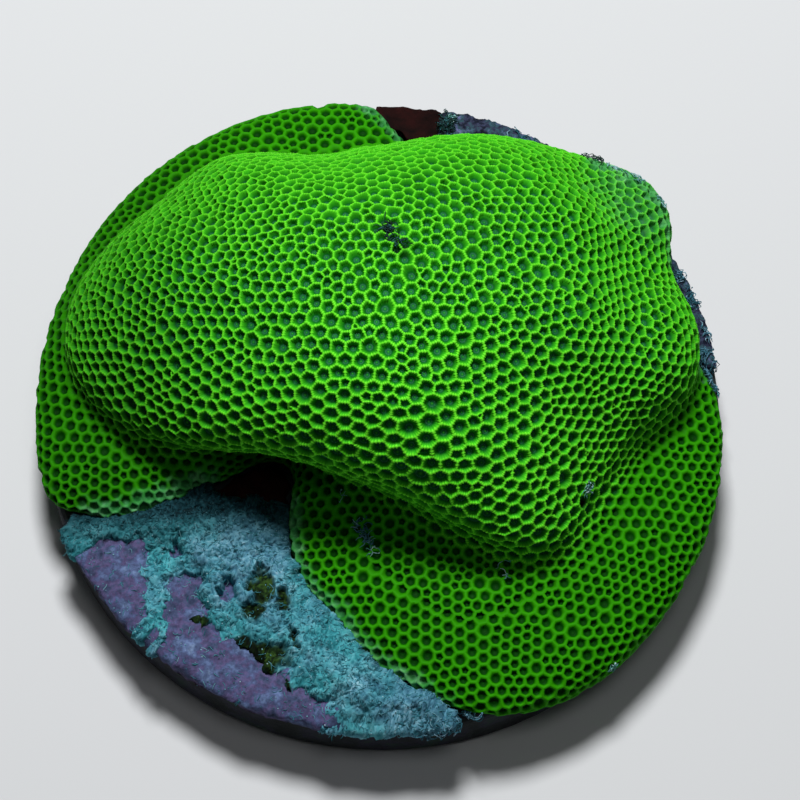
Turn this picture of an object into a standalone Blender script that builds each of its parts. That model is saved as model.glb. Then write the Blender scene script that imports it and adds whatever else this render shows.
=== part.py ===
"""Porites colony on a round ceramic frag disc, in metres, +Z up.

Origin: the centre of the disc's flat underside.  +X is to the right and +Y to the
back of the disc; the colony's overhanging lip faces the front, -Y.

The colony is one grown piece: a domed head over a thin skirt that has crept across
the disc and down over its rim.  Where no coral covers the disc, thin crusts of
coralline algae and a mat of turf algae grow on it.
"""

import math

import bmesh
import bpy

MM = 0.001

# Disc
DISC_RADIUS = 25.0 * MM
DISC_THICKNESS = 5.0 * MM
DISC_EDGE_ROUND = 0.7 * MM
DISC_SEGMENTS = 80
DISC_EDGE_STEPS = 3

# Every piece that lies on another keeps this much air to it.
GAP = 0.3 * MM

# Points nearer than this are one point; edges sharper than this stay sharp.
SAME_POINT = 0.001 * MM
SHARP_EDGE = math.radians(40.0)

# The colony is given in polar terms about one upright axis, a little behind the middle
# of the disc.  Heights are above the disc's upper face.
AXIS_Y = 5.1 * MM
AZIMUTH_STEPS = 144

# Head: the crown rises from its widest line, its outline evens out to a circle towards
# the top, and the whole leans a little to the front.
CROWN_HEIGHT = 16.2 * MM
CROWN_LEAN = 2.2 * MM
CROWN_RADIUS = 16.2 * MM
CROWN_FLATNESS = 2.2
FOOT_HEIGHT = 0.5 * MM
UNDERCUT_HOLLOW = 2.2
WALL_STEPS = 8
CROWN_STEPS = 22

# Azimuth (degrees from +X towards +Y); radius and height, in mm, of the widest line,
# which at the front is the overhanging lip; radius of the foot; fullness of the crown's
# arc (2 is an ellipse); how far round that arc the lip starts (degrees), which makes it
# a sharp brow.
HEAD = (
    (0, 23.3, 4.0, 21.5, 1.65, 0),
    (8, 22.0, 4.2, 20.4, 1.65, 0),
    (14, 22.0, 4.2, 20.0, 1.67, 0),
    (21, 23.2, 4.0, 19.9, 1.70, 0),
    (29, 23.3, 3.6, 19.7, 1.80, 0),
    (37, 22.0, 2.9, 18.9, 1.95, 0),
    (46, 19.8, 2.8, 18.3, 2.10, 0),
    (58, 18.0, 2.8, 17.4, 2.20, 0),
    (72, 16.1, 2.8, 15.7, 2.20, 0),
    (85, 14.7, 2.8, 14.4, 2.10, 0),
    (97, 14.5, 2.8, 14.3, 2.00, 0),
    (108, 14.4, 2.8, 14.2, 1.90, 0),
    (119, 16.0, 2.8, 15.7, 1.90, 0),
    (133, 18.5, 2.8, 18.1, 1.95, 0),
    (149, 19.6, 2.8, 19.1, 1.85, 0),
    (162, 21.5, 3.0, 20.5, 1.80, 0),
    (175, 23.2, 3.4, 21.6, 1.75, 6),
    (187, 23.4, 4.0, 20.4, 1.75, 18),
    (199, 21.6, 4.8, 17.4, 1.75, 28),
    (210, 19.2, 6.0, 14.0, 1.75, 33),
    (220, 16.8, 7.4, 11.0, 1.80, 36),
    (232, 14.6, 8.6, 8.8, 1.85, 37),
    (246, 13.7, 9.1, 8.6, 1.90, 37),
    (260, 13.8, 9.1, 9.6, 1.90, 37),
    (275, 14.8, 8.9, 11.3, 1.90, 37),
    (288, 17.5, 7.9, 14.4, 1.85, 36),
    (297, 20.3, 6.3, 17.6, 1.80, 35),
    (306, 21.7, 5.1, 19.6, 1.75, 32),
    (318, 20.6, 4.3, 19.3, 1.75, 22),
    (334, 20.9, 3.5, 19.8, 1.70, 9),
    (348, 23.3, 3.7, 21.4, 1.68, 0),
)

# Groove between the crown and the low bulge on its right: azimuth, radius, depth.
GROOVE = (
    (0, 18.4, 2.6),
    (15, 19.0, 2.8),
    (24, 19.6, 3.8),
    (31, 19.5, 4.4),
    (38, 19.0, 3.2),
    (46, 18.6, 0.6),
    (56, 18.4, 0.0),
    (190, 18.4, 0.0),
    (318, 18.4, 0.2),
    (334, 18.4, 1.2),
    (348, 18.4, 2.2),
)
GROOVE_INNER_WIDTH = 2.3 * MM
GROOVE_OUTER_WIDTH = 3.2 * MM

# Skirt: azimuth; how far in mm its edge stays inside the disc's rim (negative: it hangs
# over).  The two bare stretches, front left and back right, are where it draws back.
SKIRT = (
    (0, 2.6),
    (20, 2.4),
    (46, 2.6),
    (60, 3.2),
    (78, 3.8),
    (83, 3.2),
    (86, 2.0),
    (89, 0.8),
    (92, -0.2),
    (98, -0.6),
    (130, -1.1),
    (150, -1.1),
    (170, -0.9),
    (200, -0.9),
    (207, -0.8),
    (210, -0.3),
    (213, 1.4),
    (216, 3.2),
    (219, 5.8),
    (221, 8.6),
    (224, 11.8),
    (228, 15.2),
    (234, 16.8),
    (239, 16.2),
    (242, 14.2),
    (246, 11.9),
    (250, 10.3),
    (256, 8.9),
    (260, 7.9),
    (264, 6.1),
    (268, 4.5),
    (273, 3.1),
    (276, 1.8),
    (279, 0.8),
    (281, 0.2),
    (283, -0.4),
    (288, -0.9),
    (300, -1.3),
    (318, -1.1),
    (340, -0.7),
    (350, -0.3),
    (355, 0.9),
)
# Skirt's profile, in mm: distance in from the edge, then height, which is above its
# underside for the lower points and above the disc for the upper ones.
SKIRT_LOWER_PROFILE = ((0.8, 0.0), (0.15, 0.25), (0.0, 0.7))
SKIRT_UPPER_PROFILE = ((0.0, 0.9), (0.3, 1.4), (1.0, 1.6), (3.5, 2.1), (8.0, 2.7))
# Where it hangs over the rim it also reaches down the disc's side, by this many times
# the overhang past the first part.
WRAP_FROM_OVERHANG = 0.5 * MM
WRAP_PER_OVERHANG = 2.4

# The join of head and skirt is knitted into one skin, softened, then thinned out.
KNIT_SIZE = 0.57 * MM
SOFTEN_STEPS = 8
KEPT_FACES = 0.185

# Algae on the bare stretches.  A dark red crust fills the shade under the lip; outside
# the shade line grow a purple crust and, on that, the turf.  Each outer edge is given
# like the skirt's, by how far it stays inside the rim.
CRUST_THICKNESS = 0.5 * MM
TURF_THICKNESS = 0.9 * MM
EDGE_CLEARANCE = 0.6 * MM
LEAST_WIDTH = 0.3 * MM
PLATE_EDGE_ROUND = 0.12 * MM
PLATE_STEP = 3.0
PLATE_ROWS = 2
CRUST_RIM = ((0, 0.3), (180, 0.3))
SHADE_LINE = (
    (0, 16.0),
    (210, 15.0),
    (220, 11.6),
    (226, 10.9),
    (232, 12.2),
    (237, 13.3),
    (241, 14.4),
    (246, 16.0),
)
TURF_EDGE = (
    (0, 1.0),
    (212, 0.9),
    (218, 1.2),
    (223, 4.2),
    (231, 5.2),
    (238, 3.6),
    (246, 4.2),
    (254, 3.0),
    (260, 1.0),
    (270, 0.7),
    (300, 0.6),
)
RED = (0.16, 0.02, 0.02)
PURPLE = (0.40, 0.36, 0.42)


def clear_scene():
    for old in list(bpy.data.objects):
        bpy.data.objects.remove(old, do_unlink=True)


def paint(obj, colour, roughness):
    finish = bpy.data.materials.new(obj.name + "_finish")
    finish.use_nodes = True
    shader = finish.node_tree.nodes["Principled BSDF"]
    shader.inputs["Base Color"].default_value = (*colour, 1.0)
    shader.inputs["Roughness"].default_value = roughness
    shader.inputs["Metallic"].default_value = 0.0
    obj.data.materials.append(finish)


def add_object(name, bm):
    mesh = bpy.data.meshes.new(name)
    bm.to_mesh(mesh)
    bm.free()
    obj = bpy.data.objects.new(name, mesh)
    bpy.context.scene.collection.objects.link(obj)
    obj.data.shade_smooth()
    return obj


def hide_as_cutter(obj):
    obj.hide_render = True
    obj.display_type = "WIRE"


def round_the_table(table, azimuth, column=1):
    """A table's value at an azimuth, on a smooth closed curve through its rows."""
    rows = len(table)
    azimuth %= 360.0
    last = max(row for row in range(rows) if table[row][0] <= azimuth)
    near = [(last + k) % rows for k in (-1, 0, 1, 2)]
    turns = [(last + k) // rows for k in (-1, 0, 1, 2)]
    before, start, end, after = (table[row][0] + 360.0 * turn for row, turn in zip(near, turns))
    lower, first, second, upper = (table[row][column] for row in near)
    span = end - start
    share = (azimuth - start) / span
    slope_in = (second - lower) / (end - before) * span
    slope_out = (upper - first) / (after - start) * span
    rise = second - first
    square = 3.0 * rise - 2.0 * slope_in - slope_out
    cubic = slope_in + slope_out - 2.0 * rise
    return first + share * (slope_in + share * (square + share * cubic))


def about_axis(azimuth, radius, height, lean=0.0):
    """A point about the colony's axis, by its height above the disc's upper face; lean
    moves it to the front."""
    turn = math.radians(azimuth)
    backward = AXIS_Y + radius * math.sin(turn) - lean
    return (radius * math.cos(turn), backward, DISC_THICKNESS + height)


def rim_reach(azimuth):
    """Distance from the colony's axis to the disc's rim."""
    turn = math.radians(azimuth)
    return math.sqrt(DISC_RADIUS**2 - (AXIS_Y * math.cos(turn)) ** 2) - AXIS_Y * math.sin(turn)


def skirt_reach(azimuth):
    """Distance from the colony's axis to the skirt's edge."""
    return rim_reach(azimuth) - round_the_table(SKIRT, azimuth) * MM


def make_disc():
    bm = bmesh.new()
    bmesh.ops.create_cone(
        bm,
        cap_ends=True,
        segments=DISC_SEGMENTS,
        radius1=DISC_RADIUS,
        radius2=DISC_RADIUS,
        depth=DISC_THICKNESS,
    )
    bmesh.ops.translate(bm, verts=bm.verts, vec=(0.0, 0.0, 0.5 * DISC_THICKNESS))
    rims = [edge for edge in bm.edges if edge.verts[0].co.z == edge.verts[1].co.z]
    bmesh.ops.bevel(
        bm,
        geom=rims,
        offset=DISC_EDGE_ROUND,
        segments=DISC_EDGE_STEPS,
        profile=0.5,
        affect="EDGES",
        material=-1,
    )
    disc = add_object("frag_disc", bm)
    disc.data.set_sharp_from_angle(angle=SHARP_EDGE)
    paint(disc, (0.52, 0.50, 0.46), 0.75)


def turned_solid(name, section, steps):
    """A closed solid round the axis: section(azimuth, step) gives its radius, its height
    and, if it leans, how far."""
    bm = bmesh.new()
    bmesh.ops.create_grid(bm, x_segments=AZIMUTH_STEPS, y_segments=steps, size=0.5)
    for vert in bm.verts:
        azimuth = 360.0 * (vert.co.x + 0.5)
        step = round((vert.co.y + 0.5) * steps)
        vert.co = about_axis(azimuth, *section(azimuth, step))
    bmesh.ops.remove_doubles(bm, verts=bm.verts, dist=SAME_POINT)
    bmesh.ops.recalc_face_normals(bm, faces=bm.faces)
    return add_object(name, bm)


def head_section(azimuth, step):
    """From the middle of the underside, by the foot and the lip, to the top of the crown."""
    lip_radius = round_the_table(HEAD, azimuth, 1) * MM
    lip_height = round_the_table(HEAD, azimuth, 2) * MM
    foot_radius = round_the_table(HEAD, azimuth, 3) * MM
    fullness = round_the_table(HEAD, azimuth, 4)
    if step == 0:
        return 0.0, FOOT_HEIGHT
    if step <= WALL_STEPS:
        turn = 0.5 * math.pi * (WALL_STEPS - step) / (WALL_STEPS - 1)
        reach = (lip_radius - foot_radius) * math.cos(turn) ** UNDERCUT_HOLLOW
        return foot_radius + reach, lip_height - (lip_height - FOOT_HEIGHT) * math.sin(turn)
    if step == WALL_STEPS + CROWN_STEPS:
        return 0.0, CROWN_HEIGHT, CROWN_LEAN
    start = math.radians(max(round_the_table(HEAD, azimuth, 5), 0.0))
    turn = start + (0.5 * math.pi - start) * (step - WALL_STEPS) / CROWN_STEPS
    outline = lip_radius + (CROWN_RADIUS - lip_radius) * math.sin(turn) ** 4
    radius = outline * (math.cos(turn) / math.cos(start)) ** (2.0 / CROWN_FLATNESS)
    missing = math.sin(start) ** (2.0 / fullness)
    risen = (math.sin(turn) ** (2.0 / fullness) - missing) / (1.0 - missing)
    offset = radius - round_the_table(GROOVE, azimuth, 1) * MM
    width = GROOVE_OUTER_WIDTH if offset > 0.0 else GROOVE_INNER_WIDTH
    dip = round_the_table(GROOVE, azimuth, 2) * MM * math.exp(-((offset / width) ** 2))
    height = lip_height + (CROWN_HEIGHT - lip_height) * risen
    return radius, height - dip * math.sin(turn), CROWN_LEAN * risen


def skirt_section(azimuth, step):
    """From the middle of the underside, out over the edge, to the middle on top."""
    edge = skirt_reach(azimuth)
    overhang = edge - rim_reach(azimuth)
    underside = -WRAP_PER_OVERHANG * max(overhang - WRAP_FROM_OVERHANG, 0.0)
    lower = [(edge - inward * MM, underside + up * MM) for inward, up in SKIRT_LOWER_PROFILE]
    upper = [(edge - inward * MM, up * MM) for inward, up in SKIRT_UPPER_PROFILE]
    return [(0.0, lower[0][1]), *lower, *upper, (0.0, upper[-1][1])][step]


def make_seat_cutter():
    """The disc grown by the gap all round, which hollows the colony to sit over it."""
    bm = bmesh.new()
    depth = 2.0 * DISC_THICKNESS
    bmesh.ops.create_cone(
        bm,
        cap_ends=True,
        segments=DISC_SEGMENTS,
        radius1=DISC_RADIUS + GAP,
        radius2=DISC_RADIUS + GAP,
        depth=depth,
    )
    bmesh.ops.translate(bm, verts=bm.verts, vec=(0.0, 0.0, DISC_THICKNESS + GAP - 0.5 * depth))
    cutter = add_object("seat_cutter", bm)
    hide_as_cutter(cutter)
    return cutter


def make_colony():
    head = turned_solid("head_guide", head_section, WALL_STEPS + CROWN_STEPS)
    hide_as_cutter(head)
    skirt_steps = len(SKIRT_LOWER_PROFILE) + len(SKIRT_UPPER_PROFILE) + 1
    colony = turned_solid("coral_colony", skirt_section, skirt_steps)
    join = colony.modifiers.new("join_head", "BOOLEAN")
    join.operation = "UNION"
    join.object = head
    knit = colony.modifiers.new("knit", "REMESH")
    knit.mode = "VOXEL"
    knit.voxel_size = KNIT_SIZE
    knit.use_smooth_shade = True
    soften = colony.modifiers.new("soften", "SMOOTH")
    soften.factor = 0.5
    soften.iterations = SOFTEN_STEPS
    thin = colony.modifiers.new("thin_out", "DECIMATE")
    thin.ratio = KEPT_FACES
    seat = colony.modifiers.new("seat_on_disc", "BOOLEAN")
    seat.operation = "DIFFERENCE"
    seat.object = make_seat_cutter()
    paint(colony, (0.07, 0.42, 0.02), 0.6)


def make_plate(name, stretch, start, outer_table, bottom, thickness):
    """A thin solid on the bare disc over a stretch of azimuths: start(azimuth) gives the
    radius of its inner edge."""
    first, last = stretch
    bm = bmesh.new()
    columns = round((last - first) / PLATE_STEP)
    bmesh.ops.create_grid(bm, x_segments=columns, y_segments=PLATE_ROWS, size=0.5)
    for vert in bm.verts:
        azimuth = first + (last - first) * (vert.co.x + 0.5)
        inner = start(azimuth)
        outer = rim_reach(azimuth) - round_the_table(outer_table, azimuth) * MM
        width = max(outer - inner, LEAST_WIDTH)
        vert.co = about_axis(azimuth, inner + width * (vert.co.y + 0.5), bottom)
    grown = bmesh.ops.extrude_face_region(bm, geom=list(bm.faces), use_keep_orig=True)
    top = [part for part in grown["geom"] if isinstance(part, bmesh.types.BMVert)]
    bmesh.ops.translate(bm, verts=top, vec=(0.0, 0.0, thickness))
    bmesh.ops.recalc_face_normals(bm, faces=bm.faces)
    turned_up = set(top)
    brow = [
        edge
        for edge in bm.edges
        if turned_up.issuperset(edge.verts) and edge.calc_face_angle() > SHARP_EDGE
    ]
    bmesh.ops.bevel(
        bm,
        geom=brow,
        offset=PLATE_EDGE_ROUND,
        segments=1,
        profile=0.5,
        affect="EDGES",
        material=-1,
    )
    return add_object(name, bm)


def off_the_skirt(azimuth):
    return skirt_reach(azimuth) + EDGE_CLEARANCE


def out_of_the_shade(azimuth):
    shade_line = rim_reach(azimuth) - round_the_table(SHADE_LINE, azimuth) * MM
    return max(off_the_skirt(azimuth), shade_line + GAP)


def make_crusts():
    for name, stretch, start, outer_table, colour in (
        ("coralline_crust_front", (213.0, 279.0), out_of_the_shade, CRUST_RIM, PURPLE),
        ("coralline_crust_side", (-4.0, 18.0), off_the_skirt, CRUST_RIM, PURPLE),
        ("coralline_crust_rear", (40.0, 75.5), off_the_skirt, CRUST_RIM, PURPLE),
        ("red_crust_rear", (77.0, 87.5), off_the_skirt, CRUST_RIM, RED),
        ("red_crust_front", (225.0, 240.5), off_the_skirt, SHADE_LINE, RED),
    ):
        crust = make_plate(name, stretch, start, outer_table, GAP, CRUST_THICKNESS)
        paint(crust, colour, 0.7)


def make_turf():
    bottom = CRUST_THICKNESS + 2.0 * GAP
    turf = make_plate(
        "turf_mat_front", (215.0, 277.5), out_of_the_shade, TURF_EDGE, bottom, TURF_THICKNESS
    )
    paint(turf, (0.25, 0.42, 0.40), 0.95)


clear_scene()
make_disc()
make_colony()
make_crusts()
make_turf()
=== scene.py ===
"""Porites coral on a ceramic frag disc, as it looks: living honeycomb, algae and stains.

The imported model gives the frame, in metres: the disc stands on z = 0 with its centre at
x = y = 0, and the coral's overhanging lip faces -Y.
"""

import math
import random

import bmesh
import bpy
from mathutils import Euler, Matrix, Vector, noise
from mathutils.bvhtree import BVHTree
from mathutils.kdtree import KDTree


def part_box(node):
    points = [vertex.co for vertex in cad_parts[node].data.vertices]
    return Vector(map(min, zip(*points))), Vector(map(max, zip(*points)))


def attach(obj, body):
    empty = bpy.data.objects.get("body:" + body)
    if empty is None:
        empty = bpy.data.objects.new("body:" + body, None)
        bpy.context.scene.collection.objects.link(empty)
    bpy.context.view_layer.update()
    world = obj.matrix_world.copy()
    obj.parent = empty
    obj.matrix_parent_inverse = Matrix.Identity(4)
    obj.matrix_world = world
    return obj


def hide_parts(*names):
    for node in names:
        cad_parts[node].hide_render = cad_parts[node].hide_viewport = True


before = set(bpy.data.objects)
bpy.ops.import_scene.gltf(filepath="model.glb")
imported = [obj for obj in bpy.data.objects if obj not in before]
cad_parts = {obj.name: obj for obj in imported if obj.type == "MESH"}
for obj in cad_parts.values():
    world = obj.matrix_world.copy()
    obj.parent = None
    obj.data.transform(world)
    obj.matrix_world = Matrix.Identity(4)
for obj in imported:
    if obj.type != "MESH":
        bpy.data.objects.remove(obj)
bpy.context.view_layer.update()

# ----------------------------------------------------------
# Stage: a pale painted board under a large soft lamp hung overhead, a little behind the
# coral, with a weak one in front.  The camera looks down at 67 degrees from the front.

MM = 0.001
AIM = Vector((1.3, 0.8, 5.0)) * MM
CAMERA_ELEVATION = math.radians(67.0)
CAMERA_DISTANCE = 305.0 * MM
CLIP_START = 10.0 * MM
LENS = 185.0
KEY_PLACE = Vector((-15.0, 175.0, 382.0)) * MM
KEY_SIZE = 110.0 * MM
KEY_POWER = 1.98
FILL_PLACE = Vector((50.0, -60.0, 430.0)) * MM
FILL_SIZE = 120.0 * MM
FILL_POWER = 0.12
WORLD_STRENGTH = 0.04
FLOOR_SIZE = 3000.0 * MM


def linear(hex_colour):
    """An sRGB hex colour such as 8fd0a0, as the linear RGBA that Blender mixes in."""
    steps = [int(hex_colour[k : k + 2], 16) / 255.0 for k in (0, 2, 4)]
    bent = [c / 12.92 if c <= 0.04045 else ((c + 0.055) / 1.055) ** 2.4 for c in steps]
    return (*bent, 1.0)


def add_node(tree, kind, values=None, **settings):
    """A node with its settings; values gives an input a value or another node's output."""
    made = tree.nodes.new(kind)
    for name, value in settings.items():
        setattr(made, name, value)
    for place, value in (values or {}).items():
        if isinstance(value, bpy.types.NodeSocket):
            tree.links.new(value, made.inputs[place])
        else:
            made.inputs[place].default_value = value
    return made


def new_material(name, roughness, specular):
    """A material with its tree to build in, and its Principled shader."""
    made = bpy.data.materials.new(name)
    made.use_nodes = True
    shader = made.node_tree.nodes["Principled BSDF"]
    shader.inputs["Roughness"].default_value = roughness
    shader.inputs["Specular IOR Level"].default_value = specular
    return made, made.node_tree, shader


def add_object(name, data):
    """A new object in the scene that shows a mesh, a lamp, a camera or a curve."""
    obj = bpy.data.objects.new(name, data)
    bpy.context.scene.collection.objects.link(obj)
    return obj


def point_at(obj, target):
    obj.rotation_euler = (target - obj.location).to_track_quat("-Z", "Y").to_euler()


def add_lamp(name, place, size, power):
    lamp = bpy.data.lights.new(name, "AREA")
    lamp.shape = "DISK"
    lamp.size = size
    lamp.energy = power
    obj = add_object(name, lamp)
    obj.location = place
    point_at(obj, AIM)


add_lamp("key_lamp", KEY_PLACE, KEY_SIZE, KEY_POWER)
add_lamp("fill_lamp", FILL_PLACE, FILL_SIZE, FILL_POWER)

world = bpy.data.worlds.new("studio")
world.use_nodes = True
background = world.node_tree.nodes["Background"].inputs
background["Color"].default_value = linear("eef1f4")
background["Strength"].default_value = WORLD_STRENGTH
bpy.context.scene.world = world
bpy.context.scene.view_settings.view_transform = "Standard"

camera = add_object("camera", bpy.data.cameras.new("camera"))
camera.data.lens = LENS
camera.data.clip_start = CLIP_START
sight = Vector((0.0, -math.cos(CAMERA_ELEVATION), math.sin(CAMERA_ELEVATION)))
camera.location = AIM + CAMERA_DISTANCE * sight
point_at(camera, AIM)
bpy.context.scene.camera = camera

bm = bmesh.new()
bmesh.ops.create_grid(bm, x_segments=1, y_segments=1, size=0.5 * FLOOR_SIZE)
floor_mesh = bpy.data.meshes.new("floor")
bm.to_mesh(floor_mesh)
bm.free()
floor = add_object("floor", floor_mesh)
board, _, shader = new_material("pale painted board", roughness=0.9, specular=0.2)
shader.inputs["Base Color"].default_value = linear("d2d4d6")
floor_mesh.materials.append(board)

# ----------------------------------------------------------
# Frag disc: a plug of pressed and fired ceramic.  Its nearly black colour is painted shade,
# with greener and more purple blotches and a little grit.


def mottle(tree, size, detail=4.0, roughness=0.6):
    """A noise with blotches of about that size, in metres, on the piece's own axes."""
    place = add_node(tree, "ShaderNodeTexCoord").outputs["Object"]
    values = {"Vector": place, "Scale": 0.5 / size, "Detail": detail, "Roughness": roughness}
    return add_node(tree, "ShaderNodeTexNoise", values).outputs["Fac"]


def colour_by(tree, source, *stops):
    """The source turned into a colour; each stop is a position and a hex colour, in order."""
    ramp = add_node(tree, "ShaderNodeValToRGB", {"Fac": source})
    elements = ramp.color_ramp.elements
    for k, (position, hex_colour) in enumerate((stops[0], stops[-1], *stops[1:-1])):
        stop = elements[k] if k < 2 else elements.new(position)
        stop.position = position
        stop.color = linear(hex_colour)
    return ramp.outputs["Color"]


def mix_colours(tree, share, first, second):
    values = {0: share, 6: first, 7: second}
    return add_node(tree, "ShaderNodeMix", values, data_type="RGBA").outputs[2]


def add_relief(tree, shader, source, height):
    relief = add_node(tree, "ShaderNodeBump", {"Height": source, "Distance": height})
    tree.links.new(relief.outputs["Normal"], shader.inputs["Normal"])


# Dull and nearly black, painted shade, so that the disc falls back behind the coral.
ceramic, tree, shader = new_material("fired ceramic, blotched, in painted shade", roughness=0.85, specular=0.2)
blotches = colour_by(
    tree,
    mottle(tree, 1.6 * MM, detail=8.0, roughness=0.62),
    (0.32, "121618"), (0.44, "1c2224"), (0.52, "262634"), (0.60, "20302c"),
    (0.72, "3a4440"),
)
tree.links.new(blotches, shader.inputs["Base Color"])
add_relief(tree, shader, mottle(tree, 0.35 * MM, detail=6.0, roughness=0.7), 0.12 * MM)
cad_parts["frag_disc"].material_slots[0].material = ceramic

# ----------------------------------------------------------
# Living colony: one stony skeleton under a thin green skin.  Every corallite is a pit
# 0.9 mm across between shared walls, with some eighteen septal teeth, a dark moat and a pale
# polyp in the middle.  On the skirt the tissue is thicker and the pits are small.

DISC_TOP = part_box("frag_disc")[1][2]
DISC_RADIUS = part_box("frag_disc")[1][0]
SKIRT_TOP = DISC_TOP + 2.6 * MM
HEAD_FOOT = DISC_TOP + 3.8 * MM
SEAT_GAP = 0.45 * MM
SEAT_SIDE = 0.2 * MM

# The distance between corallites, how it wavers, and how it grows on the steep brow, where
# the skin's normal leans out past these heights.
CORALLITE_PITCH = 0.77 * MM
PITCH_SPREAD = 0.07
PITCH_NOISE = 160.0
BROW_GROWTH = 0.20
BROW_LEAN = (0.75, 0.25)
# Where the corallites are wider or narrower: x, y and radius in mm, and by how much.
GROWTH_PATCHES = (
    (3.0, -7.0, 14.0, 0.27),
    (10.5, 7.0, 5.5, 0.12),
    (-18.5, -2.5, 7.0, 0.14),
    (-9.5, 9.0, 6.0, -0.08),
    (16.5, -4.0, 4.5, -0.12),
)
# Edges outside these shares of the pitches at both ends, summed, are cut or collapsed.
LONGEST_EDGE = 0.68
SHORTEST_EDGE = 0.40
NEIGHBOURS = 6
SHARPEST_FOLD = 0.5
# Each turn of spreading: how often short edges collapse, whether crowded points go, and
# how often the points slide apart.
SPREAD_TURNS = (*((6, False, 3),) * 6, (3, True, 3), (3, False, 3), (3, True, 3), (3, False, 12))
BUD_SHARE = 0.006
GUIDE_CELL = 0.6 * MM


def smooth_step(low, high, value):
    """0 at low and 1 at high, with soft ends; low may be the larger."""
    share = min(max((value - low) / (high - low), 0.0), 1.0)
    return share * share * (3.0 - 2.0 * share)


def blend(start, end, share):
    return start + (end - start) * share


def head_share(place):
    """0 down on the skirt, 1 up on the head."""
    return smooth_step(SKIRT_TOP, HEAD_FOOT, place.z)


def bmesh_of(mesh):
    bm = bmesh.new()
    bm.from_mesh(mesh)
    return bm


def add_piece(name, source, material):
    """A new object from a mesh or a bmesh, in one material and shaded smooth."""
    if isinstance(source, bmesh.types.BMesh):
        mesh = bpy.data.meshes.new(name)
        source.to_mesh(mesh)
        source.free()
    else:
        mesh = source
    mesh.materials.clear()
    mesh.materials.append(material)
    mesh.shade_smooth()
    return add_object(name, mesh)


def copied_node(name):
    """A CAD node's shape as a bmesh, its doubles merged."""
    bm = bmesh_of(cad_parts[name].data)
    bmesh.ops.remove_doubles(bm, verts=bm.verts, dist=0.001 * MM)
    return bm


def modified(bm, *modifiers):
    """The bmesh after a row of modifiers, each a kind and its settings, as a new mesh."""
    mesh = bpy.data.meshes.new("working")
    bm.to_mesh(mesh)
    bm.free()
    obj = add_object("working", mesh)
    for kind, settings in modifiers:
        modifier = obj.modifiers.new(kind, kind)
        for key, value in settings.items():
            setattr(modifier, key, value)
    evaluated = obj.evaluated_get(bpy.context.evaluated_depsgraph_get())
    result = bpy.data.meshes.new_from_object(evaluated)
    bpy.data.objects.remove(obj)
    return result


def remeshed_node(name, cell):
    """A CAD node's shape in even cells of that size, a little smoothed, as a bmesh."""
    remesh = ("REMESH", {"mode": "VOXEL", "voxel_size": cell})
    return bmesh_of(modified(copied_node(name), remesh, ("SMOOTH", {"iterations": 3})))


def on_the_seat(place, normal):
    """Whether the skin here faces the disc, where no corallites grow."""
    out = Vector((place.x, place.y, 0.0))
    over = place.z < DISC_TOP + SEAT_GAP and out.length < DISC_RADIUS + SEAT_GAP
    turned_in = normal.dot(out) < 0.0 and place.z < DISC_TOP + SEAT_SIDE
    return over and (normal.z < -0.5 or turned_in)


def corallite_pitch(vert):
    """The wanted distance between corallites: wider on the steep brow of the head."""
    head = head_share(vert.co)
    growth = BROW_GROWTH * smooth_step(*BROW_LEAN, vert.normal.z)
    for x, y, radius, gain in GROWTH_PATCHES:
        away = math.hypot(vert.co.x / MM - x, vert.co.y / MM - y)
        growth += gain * math.exp(-((away / radius) ** 2))
    patchy = PITCH_SPREAD * (0.25 + 0.75 * head) * noise.noise(vert.co * PITCH_NOISE)
    return CORALLITE_PITCH * (1.0 + growth * head + patchy)


def cut_to_triangles(bm):
    bmesh.ops.triangulate(bm, faces=[face for face in bm.faces if len(face.verts) > 3])


def cut_long_edges(bm):
    bm.normal_update()
    pitch = {vert: corallite_pitch(vert) for vert in bm.verts}
    long = [
        edge
        for edge in bm.edges
        if edge.calc_length() > LONGEST_EDGE * sum(pitch[vert] for vert in edge.verts)
    ]
    bmesh.ops.subdivide_edges(bm, edges=long, cuts=1)
    cut_to_triangles(bm)


def collapse_short_edges(bm):
    """Collapses edges that are too short, the shortest first and no two side by side."""
    bm.normal_update()
    bm.verts.index_update()
    wanted = [corallite_pitch(vert) for vert in bm.verts]
    taken = set()
    short = []
    for edge in sorted(bm.edges, key=bmesh.types.BMEdge.calc_length):
        start, end = (vert.index for vert in edge.verts)
        if edge.calc_length() > SHORTEST_EDGE * (wanted[start] + wanted[end]):
            continue
        if start in taken or end in taken:
            continue
        round_start, round_end = (
            {side.other_vert(vert).index for side in vert.link_edges} for vert in edge.verts
        )
        if len(round_start & round_end) == 2:
            short.append(edge)
            taken |= round_start | round_end
    bmesh.ops.collapse(bm, edges=short)


def even_out_neighbours(bm):
    """Turns edges round where that brings their points nearer to six neighbours each."""
    bm.normal_update()
    count = {vert: len(vert.link_edges) for vert in bm.verts}
    taken = set()
    turned = []
    for edge in bm.edges:
        if not taken.isdisjoint(edge.link_faces):
            continue
        tips = [vert for face in edge.link_faces for vert in face.verts if vert not in edge.verts]
        fewer = sum(2 * (count[vert] - NEIGHBOURS) - 1 for vert in edge.verts)
        more = sum(2 * (count[vert] - NEIGHBOURS) + 1 for vert in tips)
        if fewer <= more or min(count[vert] for vert in edge.verts) < NEIGHBOURS - 1:
            continue
        first, second = (face.normal for face in edge.link_faces)
        along = (tips[1].co - tips[0].co).normalized()
        sides = [(vert.co - tips[0].co).cross(along).dot(first) for vert in edge.verts]
        least = 0.1 * CORALLITE_PITCH
        if first.dot(second) < SHARPEST_FOLD or min(sides) > -least or max(sides) < least:
            continue
        turned.append(edge)
        for face in edge.link_faces:
            for side in face.edges:
                taken.update(side.link_faces)
        for vert in edge.verts:
            count[vert] -= 1
        for vert in tips:
            count[vert] += 1
    bmesh.ops.rotate_edges(bm, edges=turned, use_ccw=False)


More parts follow.
